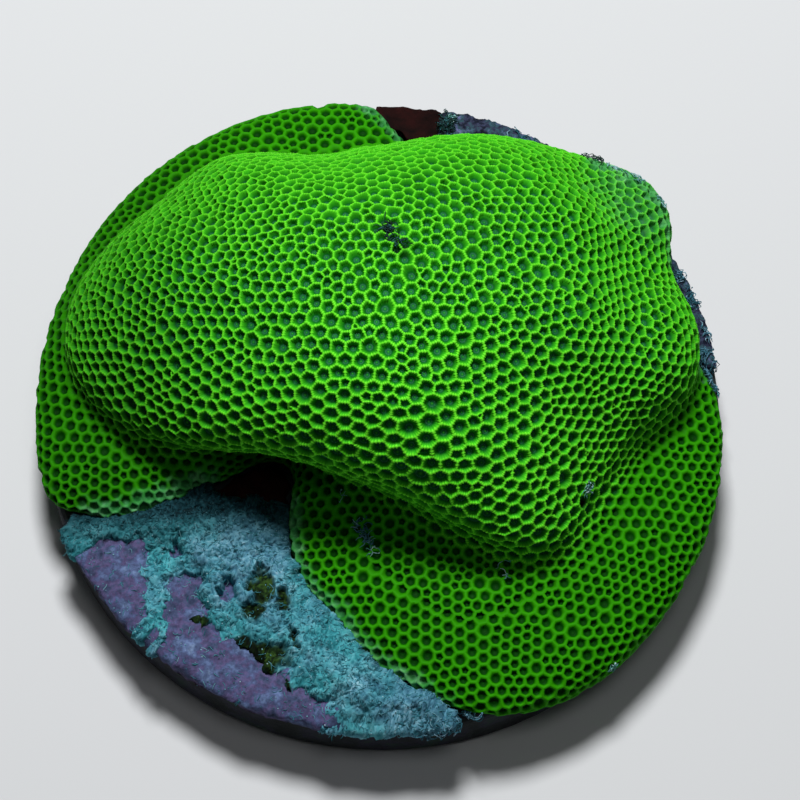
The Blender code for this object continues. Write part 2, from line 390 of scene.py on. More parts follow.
def slide_apart(bm, skin):
    """Moves every point halfway to the middle of its neighbours, along the skin."""
    bm.normal_update()
    before = [(vert, vert.co.copy(), vert.normal.copy()) for vert in bm.verts]
    bmesh.ops.smooth_vert(
        bm, verts=bm.verts, factor=0.5, use_axis_x=True, use_axis_y=True, use_axis_z=True
    )
    for vert, start, normal in before:
        move = vert.co - start
        vert.co = skin.find_nearest(start + move - normal * move.dot(normal))[0]


def spread_corallites(bm, skin):
    """Evens the triangles out until there is one point for each corallite."""
    for collapses, thinned, slides in SPREAD_TURNS:
        cut_long_edges(bm)
        for _ in range(collapses):
            collapse_short_edges(bm)
        bmesh.ops.beautify_fill(bm, faces=bm.faces, edges=bm.edges)
        for _ in range(3):
            even_out_neighbours(bm)
        if thinned:
            crowded = [vert for vert in bm.verts if len(vert.link_edges) < NEIGHBOURS - 1]
            bmesh.ops.dissolve_verts(bm, verts=crowded)
            cut_to_triangles(bm)
        for _ in range(slides):
            slide_apart(bm, skin)


def add_buds(bm):
    """Young corallites, squeezed in here and there where three walls meet."""
    buds = []
    taken = set()
    for face in bm.faces:
        around = {near for vert in face.verts for near in vert.link_faces}
        if face.calc_center_median().z > HEAD_FOOT and random.random() < BUD_SHARE:
            if taken.isdisjoint(around):
                buds.append(face)
                taken |= around
    bmesh.ops.poke(bm, faces=buds, offset=0.0)


def cell_tiling(bm):
    """The skin with a polygon round each of its points."""
    group = bpy.data.node_groups.new("cell tiling", "GeometryNodeTree")
    for way in ("INPUT", "OUTPUT"):
        group.interface.new_socket("Geometry", in_out=way, socket_type="NodeSocketGeometry")
    start = add_node(group, "NodeGroupInput")
    dual = add_node(group, "GeometryNodeDualMesh", {0: start.outputs[0]})
    add_node(group, "NodeGroupOutput", {0: dual.outputs[0]})
    return bmesh_of(modified(bm, ("NODES", {"node_group": group})))


# The walls: how far their corners stray and their crests rise, how wide they are, and how
# many cuts make their teeth.
CORNER_NOISE = 1700.0
CORNER_SHIFT = 0.16 * MM
LOW_CUTS = 1
HIGH_CUTS = 5
CREST_RISE = 0.10 * MM
BEAD_RISE = 0.05 * MM
HEAD_WALL = 0.055 * MM
SKIRT_WALL = 0.12 * MM
WALL_DIP_MM = 0.02
LEAST_OPENING = 0.6
TOOTH_REACH = 0.10 * MM
TOOTH_SIZES = (0.4, 1.4)
BUD_GROWTH = 1.3
BUD_ROUNDNESS = 0.6
# The slope, the edge of the moat and the ring of lobes round the polyp: how far in they
# are, how deep, how round, and the value that tells the tissue's colour where it is.
HEAD_RINGS = (
    (0.73, 0.12 * MM, 0.25, 0.5),
    (0.48, 0.29 * MM, 0.6, 1.0),
    (0.29, 0.32 * MM, 0.9, 1.35),
)
SKIRT_RINGS = (
    (0.64, 0.06 * MM, 0.75, 0.5),
    (0.47, 0.20 * MM, 0.9, 1.0),
    (0.24, 0.24 * MM, 0.9, 1.35),
)
# How far the septa stand proud of the slope, and the lobes of the moat.
RING_RELIEFS = (0.09 * MM, 0.0, 0.07 * MM)
CREST_VALUE = 0.15
POLYP_VALUE = 2.0
POLYP_RISE = 0.06 * MM
# Corallites narrower than this share of the pitch are shallower and paler.
FULL_SIZE = 0.45
# The tissue in the pits of the steep brow is painted darker, starting higher up the wall: painted
# shade.
PIT_LEAN = (0.75, 0.4)
BROW_PAINTED_SHADE = 1.25
# The teeth are boldest and the tissue is painted brighter, as painted light, on the front of
# the dome: x, y and radius in mm, and how strongly it grows.  It is dimmer at the left end.
VIGOUR_AND_LIGHT_PLACES = ((3.0, -6.0, 14.0, 1.0), (-9.5, -7.0, 5.0, 0.8))
PAINTED_LIGHT_GAIN = 0.9
DIMMER_LEFT = 1.1
DIMMER_FROM = -8.0 * MM
DIMMEST_FROM = -20.0 * MM


def vigour_and_light(place):
    """How strongly the colony grows here, from 0 to 1; it also sets the painted light."""
    found = 0.0
    for x, y, radius, strength in VIGOUR_AND_LIGHT_PLACES:
        away = (place.xy - Vector((x, y)) * MM).length / (radius * MM)
        found = max(found, strength * math.exp(-away * away))
    return found


def tone_and_light_at(place, head):
    """The painted light on the tissue here, and its dimming at the left end, beside the random tone
    of each corallite.
    """
    left = smooth_step(DIMMER_FROM, DIMMEST_FROM, place.x)
    return PAINTED_LIGHT_GAIN * (vigour_and_light(place) - 0.5) * head - DIMMER_LEFT * left


class Corallite:
    """A polygon of the skin, its middle and axis, and how much it belongs to the skirt."""

    def __init__(self, face):
        self.face = face
        self.middle = face.calc_center_median()
        self.up = face.normal.copy()
        self.low = 1.0 - head_share(self.middle)
        self.shade = random.random() + tone_and_light_at(self.middle, 1.0 - self.low)

    def measure_arms(self):
        """Keeps where the points of the wall lie, seen from the middle."""
        self.arms = [vert.co - self.middle for vert in self.face.verts]
        self.flat_arms = [arm - self.up * arm.dot(self.up) for arm in self.arms]
        self.radius = sum(arm.length for arm in self.flat_arms) / len(self.flat_arms)


def cut_walls(bm, cells):
    """Loosens the corners, rounds the buds and cuts the walls where teeth will stand."""
    living = set(cells)
    walls = [edge for edge in bm.edges if not living.isdisjoint(edge.link_faces)]
    low_walls = [edge for edge in walls if all(vert.co.z < SKIRT_TOP for vert in edge.verts)]
    high_walls = [edge for edge in walls if any(vert.co.z >= SKIRT_TOP for vert in edge.verts)]
    for vert in bm.verts:
        stray = noise.noise_vector(vert.co * CORNER_NOISE) * CORNER_SHIFT
        vert.co += stray * (0.4 + 0.6 * head_share(vert.co))
    buds = [cell for cell in cells if len(cell.verts) == 3]
    for bud in buds:
        middle = bud.calc_center_median()
        for vert in bud.verts:
            vert.co = middle.lerp(vert.co, BUD_GROWTH)
    bmesh.ops.bisect_edges(bm, edges=low_walls, cuts=LOW_CUTS)
    bmesh.ops.bisect_edges(bm, edges=high_walls, cuts=HIGH_CUTS)
    for bud in buds:
        middle = bud.calc_center_median()
        reach = sum((vert.co - middle).length for vert in bud.verts) / len(bud.verts)
        for vert in bud.verts:
            arm = vert.co - middle
            vert.co = middle + arm.lerp(arm.normalized() * reach, BUD_ROUNDNESS)
    bm.normal_update()


def set_teeth(cells, tooth, tone_and_light, skirt):
    """Marks every second point along the walls as a septal tooth, each of its own size."""
    for cell in cells:
        first = next(k for k, vert in enumerate(cell.verts) if len(vert.link_edges) > 2)
        for k, vert in enumerate(cell.verts):
            head = head_share(vert.co)
            bold = blend(1.0, blend(0.5, 1.0, vigour_and_light(vert.co)), head)
            vert[tooth] = bold * random.uniform(*TOOTH_SIZES) * (1.0 - (k - first) % 2)
            # Painted light: brighter tissue on the front of the dome, dimmer at the left end.
            vert[tone_and_light] = 0.5 + tone_and_light_at(vert.co, head)
            vert[skirt] = 1.0 - head


def inset_again(bm, cells):
    bmesh.ops.inset_individual(bm, faces=cells, thickness=0.0, use_even_offset=False)


def grow_corallites(bm):
    """Gives each polygon its wall, teeth, moat and polyp."""
    layers = bm.verts.layers.float
    inward, tooth, tone_and_light, skirt = (layers.new(name) for name in ("inward", "tooth", "tone_and_light", "skirt"))
    cells = [face for face in bm.faces if not on_the_seat(face.calc_center_median(), face.normal)]
    cut_walls(bm, cells)
    set_teeth(cells, tooth, tone_and_light, skirt)
    pits = [Corallite(cell) for cell in cells]
    for vert in {vert for cell in cells for vert in cell.verts}:
        vert.co += vert.normal * (CREST_RISE + BEAD_RISE * vert[tooth] * (1.0 - vert[skirt]))
    for pit in pits:
        pit.measure_arms()
    inset_again(bm, cells)
    for pit in pits:
        wall = blend(HEAD_WALL, SKIRT_WALL, pit.low)
        for vert, arm in zip(pit.face.verts, pit.arms):
            width = wall + TOOTH_REACH * vert[tooth] * (1.0 - pit.low)
            kept = max(1.0 - width / arm.length, LEAST_OPENING)
            vert.co = pit.middle + arm * kept - pit.up * WALL_DIP_MM * MM
            vert[inward] = CREST_VALUE
            vert[tone_and_light] = pit.shade
            vert[skirt] = pit.low
    for head_ring, skirt_ring, proud in zip(HEAD_RINGS, SKIRT_RINGS, RING_RELIEFS):
        inset_again(bm, cells)
        for pit in pits:
            reach, depth, roundness, value = (
                blend(of_head, of_skirt, pit.low)
                for of_head, of_skirt in zip(head_ring, skirt_ring)
            )
            grown = min(pit.radius / (FULL_SIZE * CORALLITE_PITCH), 1.0)
            # Painted shade: the pits of the steep brow darken sooner.
            brow = smooth_step(*PIT_LEAN, pit.up.z) * (1.0 - pit.low)
            depth *= grown
            relief = proud * (1.0 - 0.7 * pit.low)
            for vert, arm in zip(pit.face.verts, pit.flat_arms):
                spoke = arm.lerp(arm.normalized() * pit.radius, roundness) * reach
                rise = relief * (vert[tooth] - 0.5) - depth
                vert.co = pit.middle + spoke + pit.up * rise
                vert[inward] = value * grown * grown * blend(1.0, BROW_PAINTED_SHADE, brow)
    poked = bmesh.ops.poke(bm, faces=cells, offset=0.0)
    for vert, pit in zip(poked["verts"], pits):
        vert.co += pit.up * blend(POLYP_RISE, 0.4 * POLYP_RISE, pit.low)
        vert[inward] = POLYP_VALUE
        vert[tooth] = 0.5
        vert[tone_and_light] = pit.shade
        vert[skirt] = pit.low


# Where the tissue is thin and pale: x, y, z and radius in mm, and how pale.  They are the
# edge of the rear lobe, the cut edge by the red crust and the end of the right skirt.
PALE_PATCHES = (
    (18.5, 13.8, 11.5, 4.0, 0.25),
    (16.3, 17.3, 11.0, 1.3, 0.8),
    (18.6, 16.4, 10.6, 1.5, 0.8),
    (20.4, 14.6, 10.6, 1.5, 0.8),
    (21.3, 12.4, 10.4, 1.3, 0.7),
    (21.7, 10.2, 9.6, 1.2, 0.6),
    (-0.8, 24.6, 6.0, 1.2, 0.8),
    (0.5, 23.4, 6.2, 1.1, 0.8),
    (1.6, 22.3, 6.4, 1.1, 0.8),
    (23.6, 3.4, 6.0, 1.6, 0.7),
)
# Dead or shaded corallites, nearly black, in the same way.
DARK_PATCHES = (
    (14.7, -9.3, 9.7, 0.60, 1.0),
    (0.5, 7.3, 20.8, 0.95, 0.75),
    (1.3, 5.7, 20.9, 0.75, 0.7),
)
FELT_EDGE = 1.3 * MM
PALE_BY_FELT = 0.7
RAG_SIZE = 0.6 * MM


def raggedness(place):
    """What to add to a share of a distance, so that edges come out ragged."""
    return noise.noise(place / RAG_SIZE) * 0.5


def patch_share(place, patches):
    """How strongly the patches show here, with a ragged soft edge."""
    ragged = raggedness(place)
    found = 0.0
    for x, y, z, radius, share in patches:
        away = (place / MM - Vector((x, y, z))).length / radius
        found = max(found, share * smooth_step(1.3, 0.5, away + ragged))
    return found


def paleness(place, felt):
    """How bleached the tissue is here: beside the felt and along its thin edges."""
    pale = patch_share(place, PALE_PATCHES)
    if place.z < SKIRT_TOP:
        gap = felt.find_nearest(place)[3] / FELT_EDGE
        pale = max(pale, PALE_BY_FELT * smooth_step(1.5, 0.7, gap + raggedness(place)))
    return pale


def part_of(bm, keeps):
    """A copy of the bmesh with only the faces whose middle passes the test."""
    part = bm.copy()
    outside = [face for face in part.faces if not keeps(face.calc_center_median())]
    bmesh.ops.delete(part, geom=outside, context="FACES")
    return part


random.seed(7)
noise.seed_set(7)
bm = remeshed_node("coral_colony", GUIDE_CELL)
bmesh.ops.triangulate(bm, faces=bm.faces)
skin = BVHTree.FromBMesh(bm)
spread_corallites(bm, skin)
add_buds(bm)
colony = cell_tiling(bm)
grow_corallites(colony)
for face in colony.faces:
    face.smooth = True
felt_node = copied_node("turf_mat_front")
felt_skin = BVHTree.FromBMesh(felt_node)
felt_node.free()
pale = colony.verts.layers.float.new("pale")
dark = colony.verts.layers.float.new("dark")
for vert in colony.verts:
    vert[pale] = paleness(vert.co, felt_skin)
    vert[dark] = patch_share(vert.co, DARK_PATCHES)


def attribute(tree, name):
    return add_node(tree, "ShaderNodeAttribute", attribute_name=name).outputs["Fac"]


def calculate(tree, operation, *values):
    """The result of a calculation with values or other nodes' outputs."""
    made = add_node(tree, "ShaderNodeMath", dict(enumerate(values)), operation=operation)
    return made.outputs[0]


def stretch(tree, source, start, end, low=0.0, high=1.0, **settings):
    """The source stretched so that start gives low and end gives high, and no further."""
    values = {"Value": source, "From Min": start, "From Max": end, "To Min": low, "To Max": high}
    return add_node(tree, "ShaderNodeMapRange", values, **settings).outputs[0]


# A saturated green that is brightest on the crests and nearly black in the moats: the tissue's own
# colour, deepened in the pits by painted shade.
tissue, tree, shader = new_material("living coral tissue", roughness=0.6, specular=0.04)
inward = attribute(tree, "inward")
half = calculate(tree, "MULTIPLY", inward, 1.0 / POLYP_VALUE)
on_septa = colour_by(
    tree,
    half,
    (0.0, "7cf038"), (0.06, "6ae428"), (0.12, "54ce20"), (0.26, "3cac1c"),
    (0.42, "208618"), (0.5, "12701c"), (0.63, "146e2e"), (0.675, "5e9674"),
    (0.72, "1c7640"), (0.88, "1a7630"), (1.0, "44a824"),
)
between_septa = colour_by(
    tree,
    half,
    (0.0, "5cd420"), (0.06, "48c01c"), (0.12, "38a618"), (0.26, "289014"),
    (0.42, "146c12"), (0.5, "0a5414"), (0.675, "0e5434"), (0.88, "146a2c"),
    (1.0, "44a824"),
)
on_skirt = colour_by(
    tree,
    half,
    (0.0, "2e9002"), (0.075, "2c8c02"), (0.2, "267e02"), (0.32, "166002"),
    (0.46, "064202"), (0.7, "033402"), (1.0, "0a4602"),
)
on_head = mix_colours(tree, attribute(tree, "tooth"), between_septa, on_septa)
living = mix_colours(tree, attribute(tree, "skirt"), on_head, on_skirt)
# This attribute holds each corallite's random tone and the painted light of the dome's front.
shade = calculate(tree, "MULTIPLY_ADD", attribute(tree, "tone_and_light"), 0.24, 0.86)
toned = add_node(tree, "ShaderNodeHueSaturation", {"Color": living, "Value": shade})
worn = colour_by(
    tree,
    mottle(tree, 0.5 * MM),
    (0.35, "267038"), (0.5, "469458"), (0.62, "6cb07c"), (0.75, "98d0a4"),
)
bleached = mix_colours(tree, attribute(tree, "pale"), toned.outputs[0], worn)
hollowed = stretch(tree, inward, 0.0, 0.6, low=0.35)
blackened = calculate(tree, "MULTIPLY", attribute(tree, "dark"), hollowed)
soot = colour_by(tree, inward, (0.2, "14341c"), (0.7, "020604"))
tree.links.new(mix_colours(tree, blackened, bleached, soot), shader.inputs["Base Color"])

# The colony is one growth; its mesh is held as bands, each down to a height over the disc.
BANDS = (
    ("coral_crown", DISC_TOP + 14.4 * MM),
    ("coral_upper_brow", DISC_TOP + 12.0 * MM),
    ("coral_lower_brow", DISC_TOP + 9.9 * MM),
    ("coral_upper_flank", DISC_TOP + 7.6 * MM),
    ("coral_lower_flank", DISC_TOP + 5.2 * MM),
    ("coral_foot", SKIRT_TOP),
    ("coral_skirt", -1.0),
)
ceiling = 1.0
for name, foot in BANDS:
    part = part_of(colony, lambda middle: foot <= middle.z < ceiling)
    ceiling = foot
    piece = add_piece(name, part, tissue)
    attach(piece, "root")
    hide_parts("coral_colony")
colony.free()

# ----------------------------------------------------------
# Coralline crusts: stony pink-purple algae that grow as thin lumpy plates straight on the
# disc.  Their edges are ragged, and dark red where they thin out over the disc's rim.

CRUST_CELL = 0.13 * MM
CRUST_SWELL = 0.16 * MM
SIDE_SWELL = 0.3 * MM
# Lumps of several sizes: how wide and how high.
CRUST_WAVES = ((1.6 * MM, 0.20 * MM), (0.6 * MM, 0.18 * MM), (0.25 * MM, 0.08 * MM))
ROUGH_WAVES = ((1.2 * MM, 0.30 * MM), (0.5 * MM, 0.26 * MM), (0.22 * MM, 0.12 * MM))
# The ragged outline, and how the growth creeps out to the rim and drops over it.
OUTLINE_SIZE = 0.8 * MM
OUTLINE_SHIFT_MM = 0.45
OVERHANG_SIZE = 0.7 * MM
OVERHANG_SHIFT = 0.25 * MM
RIM_START = DISC_RADIUS - 0.9 * MM
RIM_END = DISC_RADIUS - 0.1 * MM
RIM_CREEP = 0.7 * MM
RIM_DROP = 0.75 * MM
TOP_EDGE = DISC_RADIUS - 0.2 * MM
SIDE_EDGE = DISC_RADIUS + 0.1 * MM


def lowest_at(radius):
    """How low a growth may hang at this distance from the middle of the disc."""
    return DISC_TOP + 0.02 * MM - RIM_DROP * smooth_step(TOP_EDGE, SIDE_EDGE, radius)


def over_the_rim(vert, overhang):
    """Keeps a growth on top of the disc, and lets it creep over the rim and a little down."""
    out = Vector((vert.co.x, vert.co.y, 0.0))
    near = smooth_step(RIM_START, RIM_END, out.length)
    far = min(out.length + RIM_CREEP * near, DISC_RADIUS + overhang)
    vert.co += out.normalized() * (far - out.length)
    vert.co.z = max(vert.co.z - 0.5 * RIM_DROP * near, lowest_at(far))


def lumpy_copy(node, cell, swell, waves, overhang):
    """A closed copy of a CAD node, evened out, swollen and given lumps of several sizes."""
    bm = remeshed_node(node, cell)
    bm.normal_update()
    for vert in bm.verts:
        lumps = sum(height * noise.noise(vert.co / size) for size, height in waves)
        side = 1.0 - abs(vert.normal.z)
        ragged = noise.noise_vector(vert.co / OUTLINE_SIZE) * OUTLINE_SHIFT_MM * MM * side
        vert.co += vert.normal * (swell + lumps + SIDE_SWELL * side) + ragged
        over_the_rim(vert, overhang + noise.noise(vert.co / OVERHANG_SIZE) * OVERHANG_SHIFT)
    return bm


def crust_material(name, blotch, grain, *stops):
    """A stony crust in blotches, dark red where it thins out over the rim."""
    material, tree, shader = new_material(name, roughness=0.75, specular=0.1)
    blotches = colour_by(tree, mottle(tree, blotch, detail=7.0, roughness=0.65), *stops)
    place = add_node(tree, "ShaderNodeTexCoord").outputs["Object"]
    height = add_node(tree, "ShaderNodeSeparateXYZ", {0: place}).outputs["Z"]
    low = stretch(tree, height, DISC_TOP + 0.25 * MM, DISC_TOP - 0.25 * MM)
    thin = colour_by(tree, mottle(tree, 0.8 * MM), (0.4, "240c1c"), (0.62, "342a42"))
    grains = mottle(tree, grain, roughness=0.7)
    value = stretch(tree, grains, 0.36, 0.62, low=0.68, high=1.3)
    speckled = add_node(tree, "ShaderNodeHueSaturation", {"Value": value, "Color": blotches})
    tree.links.new(mix_colours(tree, low, speckled.outputs[0], thin), shader.inputs["Base Color"])
    add_relief(tree, shader, mottle(tree, grain, detail=5.0, roughness=0.7), 0.3 * grain)
    return material


# Matt lilac stone with slate-blue and pinkish blotches.
front_crust = crust_material(
    "purple coralline crust, matt",
    1.0 * MM,
    0.2 * MM,
    (0.3, "2c3450"), (0.41, "3e4866"), (0.48, "544c72"), (0.53, "464e72"),
    (0.61, "56688e"), (0.74, "7488a6"),
)
# The same stone, older: pale streaks and teal stains between dark cracks.
old_crust = crust_material(
    "weathered coralline crust, matt",
    0.6 * MM,
    0.15 * MM,
    (0.32, "0a0e17"), (0.42, "1c2234"), (0.48, "32364e"), (0.54, "28484e"),
    (0.63, "4e5578"), (0.76, "8a90b4"),
)

crusts = {}
for name, overhang, waves, material in (
    ("coralline_crust_front", 0.25 * MM, CRUST_WAVES, front_crust),
    ("coralline_crust_side", 0.0, ROUGH_WAVES, old_crust),
    ("coralline_crust_rear", 0.0, ROUGH_WAVES, old_crust),
):
    bm = lumpy_copy(name, CRUST_CELL, CRUST_SWELL, waves, overhang)
    crusts[name] = BVHTree.FromBMesh(bm)
    piece = add_piece(name.replace("coralline_crust", "purple_crust"), bm, material)
    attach(piece, "root")
    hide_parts(name)

# A matt film the colour of dried blood, with a few pale greenish flecks.
red, tree, shader = new_material("dark red algal crust", roughness=0.75, specular=0.06)
blotches = colour_by(
    tree,
    mottle(tree, 0.7 * MM, detail=8.0, roughness=0.65),
    (0.34, "0c0303"), (0.46, "190706"), (0.6, "230908"), (0.72, "2c1210"),
    (0.85, "70805c"),
)
tree.links.new(blotches, shader.inputs["Base Color"])
add_relief(tree, shader, mottle(tree, 0.2 * MM, detail=5.0, roughness=0.7), 0.06 * MM)

RED_WAVES = ((0.9 * MM, 0.10 * MM), (0.4 * MM, 0.06 * MM))
RED_INSET = 0.1 * MM
# The rear film creeps on to the cut edge of the colony, to its left.
RED_REACH = 1.1 * MM
for name in ("red_crust_rear", "red_crust_front"):
    bm = lumpy_copy(name, CRUST_CELL, 0.0, RED_WAVES, -RED_INSET)
    if name == "red_crust_rear":
        for vert in bm.verts:
            vert.co.x -= RED_REACH * smooth_step(3.0 * MM, 1.0 * MM, vert.co.x)
    piece = add_piece(name + "_film", bm, red)
    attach(piece, "root")
    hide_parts(name)

# ----------------------------------------------------------
# Algal turf: a felt of short teal threads full of fine sediment, up to a millimetre
# thick, grown over the crust and up against the colony.  The crust shows through in
# windows, and in hollows the felt has rotted to an olive sponge.

# Windows and hollows: x, y, half length and half width, in mm.
WINDOWS = (
    (-19.2, -12.2, 1.8, 1.5),
    (-19.3, -14.2, 2.0, 1.8),
    (-18.4, -16.5, 2.0, 1.8),
    (-16.6, -18.6, 1.8, 1.5),
    (-14.3, -16.4, 1.5, 1.1),
    (-13.9, -18.2, 1.7, 1.2),
    (-12.8, -20.9, 2.2, 1.5),
    (-9.4, -22.0, 2.3, 1.4),
    (-6.1, -23.4, 1.7, 0.9),
    (-13.9, -14.2, 1.0, 0.6),
    (-11.2, -14.9, 0.6, 0.9),
    (-14.8, -11.9, 0.4, 0.3),
    (-9.4, -16.5, 0.4, 0.4),
)
# Tongues of felt that still cross the windows, and tufts that hang over the rim.
TONGUES = (
    (-16.7, -13.3, 1.6, 0.4),
    (-16.6, -15.6, 0.8, 2.2),
    (-15.8, -17.6, 0.6, 0.9),
    (-20.0, -17.2, 1.0, 0.7),
    (-13.3, -22.3, 1.1, 0.7),
    (-9.2, -23.9, 1.3, 0.6),
)
HOLLOWS = (
    (-8.8, -14.8, 0.7, 1.5),
    (-9.3, -16.6, 0.8, 0.6),
    (-7.2, -15.6, 0.6, 0.9),
    (-10.0, -19.2, 1.5, 0.9),
    (-8.4, -19.8, 1.6, 1.1),
    (-13.3, -16.9, 0.9, 0.35),
    (-6.1, -19.1, 0.3, 0.3),
    (-7.0, -22.0, 0.25, 0.5),
    (-6.5, -18.3, 0.3, 0.5),
)
MAT_CELL = 0.10 * MM
MAT_SWELL = 0.12 * MM
MAT_OVERHANG = 0.3 * MM
MAT_WAVES = ((1.4 * MM, 0.28 * MM), (0.6 * MM, 0.22 * MM))
FILM_LIFT = 0.14 * MM
WOOL_RISE = 0.24 * MM
WOOL_SIDE = 0.1 * MM
WINDOW_DEPTH = 1.5 * MM
HOLLOW_DEPTH = 0.6 * MM
# Where the edges of windows, tongues and hollows begin and end, as shares of their size.
PATCH_EDGE = (1.3, 0.75)
# Round the windows the felt thins out, and the mat slopes down towards the rim.
EDGE_THINNING = 0.26 * MM
THINNING_EDGE = (2.6, 1.1)
MAT_TAPER = 0.95 * MM
MAT_SLOPE = 2.6 * MM
# Beside the colony the felt leans against the cut edge.
COLONY_GAP = 0.8 * MM
COLONY_LEAN = 1.6
# Past this radius the windows go on outwards, and draw the felt back from the rim.
RIM_BAND = 24.1 * MM
RIM_BAND_PULL = 1.6 * MM
# From here back the felt, its threads and grit get a painted shadow of the overhanging brow.
SHADE_START = -12.8 * MM
SHADE_END = -8.4 * MM


def reach_to(place, patches):
    """How far out this place lies from the nearest patch: 0 at its middle, 1 at its edge."""
    flat = Vector((place.x, place.y, 0.0))
    if flat.length > RIM_BAND:
        flat *= RIM_BAND / flat.length
        place = flat
    stray = noise.noise_vector(flat / (1.1 * MM)) * 0.55
    stray += noise.noise_vector(flat / (0.4 * MM)) * 0.3
    return min(
        math.hypot((place.x / MM + stray.x - x) / a, (place.y / MM + stray.y - y) / b)
        for x, y, a, b in patches
    )


def inside(place, patches):
    """1 well inside any of the patches, 0 outside."""
    return smooth_step(*PATCH_EDGE, reach_to(place, patches))


def wool(place):
    """The relief of matted threads: 1 along curling ridges, 0 in the gaps between them."""
    bent = place + noise.noise_vector(place / (0.7 * MM)) * 0.3 * MM
    coarse = 1.0 - 3.2 * abs(noise.noise(bent / (0.42 * MM)))
    fine = 1.0 - 3.0 * abs(noise.noise(bent / (0.24 * MM) + Vector((9.0, 4.0, 2.0))))
    return max(coarse, 0.7 * fine, 0.0)


def outer_wall(bm):
    """The places on the side of the mat that faces the rim, as a tree to search."""
    wall = [
        vert.co.copy()
        for vert in bm.verts
        if abs(vert.normal.z) < 0.6 and vert.normal.xy.dot(vert.co.xy.normalized()) > 0.5
    ]
    tree = KDTree(len(wall))
    for k, place in enumerate(wall):
        tree.insert((place.x, place.y, 0.0), k)
    tree.balance()
    return tree


def woolly_copy(node, lift, taper):
    """A felt skin over a CAD node, thinning towards the rim and sunk in the windows."""
    bm = lumpy_copy(node, MAT_CELL, MAT_SWELL, MAT_WAVES, MAT_OVERHANG)
    bm.normal_update()
    wall = outer_wall(bm)
    painted_ridge_light = bm.verts.layers.float.new("painted_ridge_light")
    rot = bm.verts.layers.float.new("rot")
    for vert in bm.verts:
        height = wool(vert.co)
        hollow = inside(vert.co, HOLLOWS)
        reach = reach_to(vert.co, WINDOWS)
        kept = (1.0 - inside(vert.co, TONGUES)) * (1.0 - 0.9 * hollow)
        window = smooth_step(*PATCH_EDGE, reach) * kept
        thinned = smooth_step(*THINNING_EDGE, reach) * kept
        inland = wall.find((vert.co.x, vert.co.y, 0.0))[2]
        side = 1.0 - abs(vert.normal.z)
        vert[painted_ridge_light] = height
        vert[rot] = hollow
        vert.co.z -= taper * smooth_step(MAT_SLOPE, 0.0, inland) * (1.0 - 0.7 * hollow)
        vert.co += vert.normal * (WOOL_RISE * height + WOOL_SIDE * side)
        vert.co.z += lift - WINDOW_DEPTH * window - HOLLOW_DEPTH * hollow - EDGE_THINNING * thinned
        beside, _, _, gap = skin.find_nearest(vert.co)
        if gap < COLONY_GAP and vert.co.z < SKIRT_TOP:
            vert.co += (beside - vert.co) * min(1.0, COLONY_LEAN * side)
        if vert.co.xy.length > RIM_BAND:
            vert.co.xy *= 1.0 - RIM_BAND_PULL * window / vert.co.xy.length
        vert.co.z = max(vert.co.z, lowest_at(vert.co.xy.length))
    return bm


def lip_shade(tree):
    """How much painted shadow of the brow there is: 1 under the brow, 0 out in the open."""
    place = add_node(tree, "ShaderNodeTexCoord").outputs["Object"]
    depth = add_node(tree, "ShaderNodeSeparateXYZ", {0: place}).outputs["Y"]
    return stretch(tree, depth, SHADE_START, SHADE_END, interpolation_type="SMOOTHSTEP")


# Woolly teal in some places and slate in others, paler along the ridges of the threads and darker in
# the gaps, painted light and shade over the real relief.
felt, tree, shader = new_material("algal felt with sediment", roughness=0.85, specular=0.1)
speckle = mottle(tree, 0.16 * MM, detail=5.0, roughness=0.7)
uneven = calculate(tree, "MULTIPLY_ADD", speckle, 0.8, -0.28)
ridged = calculate(tree, "MULTIPLY_ADD", attribute(tree, "painted_ridge_light"), 0.5, uneven)
clumped = calculate(tree, "MULTIPLY_ADD", mottle(tree, 1.3 * MM), 1.2, -0.6)
tone = calculate(tree, "ADD", ridged, clumped)
teal = colour_by(
    tree,
    tone,
    (0.0, "1f6870"), (0.16, "2b7a84"), (0.36, "3f949e"), (0.62, "58a8b2"),
    (0.9, "8cc4cc"),
)
slate = colour_by(
    tree,
    tone,
    (0.0, "2e566a"), (0.16, "3a6a80"), (0.36, "4e8298"), (0.62, "689cb0"),
    (0.9, "a0c0d2"),
)
regions = stretch(tree, mottle(tree, 3.2 * MM, detail=3.0), 0.44, 0.58)
in_the_open = mix_colours(tree, regions, teal, slate)
# Painted shadow of the brow: the felt darkens under it.
painted_shadow = colour_by(tree, tone, (0.0, "041418"), (0.3, "0c2e36"), (0.85, "2c5a64"))
with_painted_shadow = mix_colours(tree, lip_shade(tree), in_the_open, painted_shadow)
rotten = colour_by(
    tree, tone, (0.1, "040a05"), (0.4, "0d1c0a"), (0.55, "1a3012"), (0.75, "34501e")
)
coloured = mix_colours(tree, attribute(tree, "rot"), with_painted_shadow, rotten)
tree.links.new(coloured, shader.inputs["Base Color"])
add_relief(tree, shader, speckle, 0.04 * MM)

felts = []
for name, node, lift, taper in (
    ("turf_mat", "turf_mat_front", 0.0, MAT_TAPER),
    ("turf_film", "coralline_crust_front", FILM_LIFT, 0.0),
):
    bm = woolly_copy(node, lift, taper)
    felts.append(BVHTree.FromBMesh(bm))
    piece = add_piece(name, bm, felt)
    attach(piece, "root")
    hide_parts("turf_mat_front")

THREAD_COUNT = 1900
THREAD_STEPS = 6
THREAD_STEP = 0.10 * MM
THREAD_THICKNESS = 0.045 * MM
THREAD_LIFT_MM = 0.06
THREAD_CURL = 0.35
# How far a thread sinks with each step: along the ground, and where there is none.
SAG = 0.06 * MM
FALL = 0.08 * MM
WISP_COUNT = 110
GRAIN_COUNT = 2200
SPECK_COUNT = 220
GRAIN_SIZES = (0.03, 0.08)
NO_GROUND = -1.0


